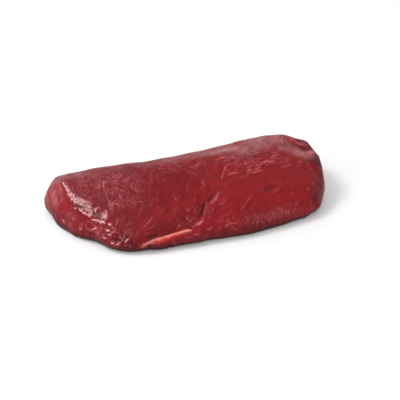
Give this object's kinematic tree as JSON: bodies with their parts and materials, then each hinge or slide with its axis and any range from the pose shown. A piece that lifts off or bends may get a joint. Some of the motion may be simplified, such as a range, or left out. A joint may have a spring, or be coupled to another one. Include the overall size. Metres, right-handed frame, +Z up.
{
  "type": "venison loin fillet",
  "caption": "Raw trimmed venison loin fillet: a long domed slab with an oblique cut end, a side flap and a seam, lying flat.",
  "frame": {"origin": "bottom centre of the bounding box, on the surface that the fillet lies on", "axes": "+X along the length towards the rounded end, -X towards the oblique cut end, -Y towards the lower side with the flap, +Z up"},
  "size_m": [0.2608, 0.1042, 0.0434],
  "materials": {
    "meat": "moist, satin sheen, fine fibres and pale connective tissue"
  },
  "bodies": {
    "root": {"fillet": "meat"}
  },
  "joints": []
}
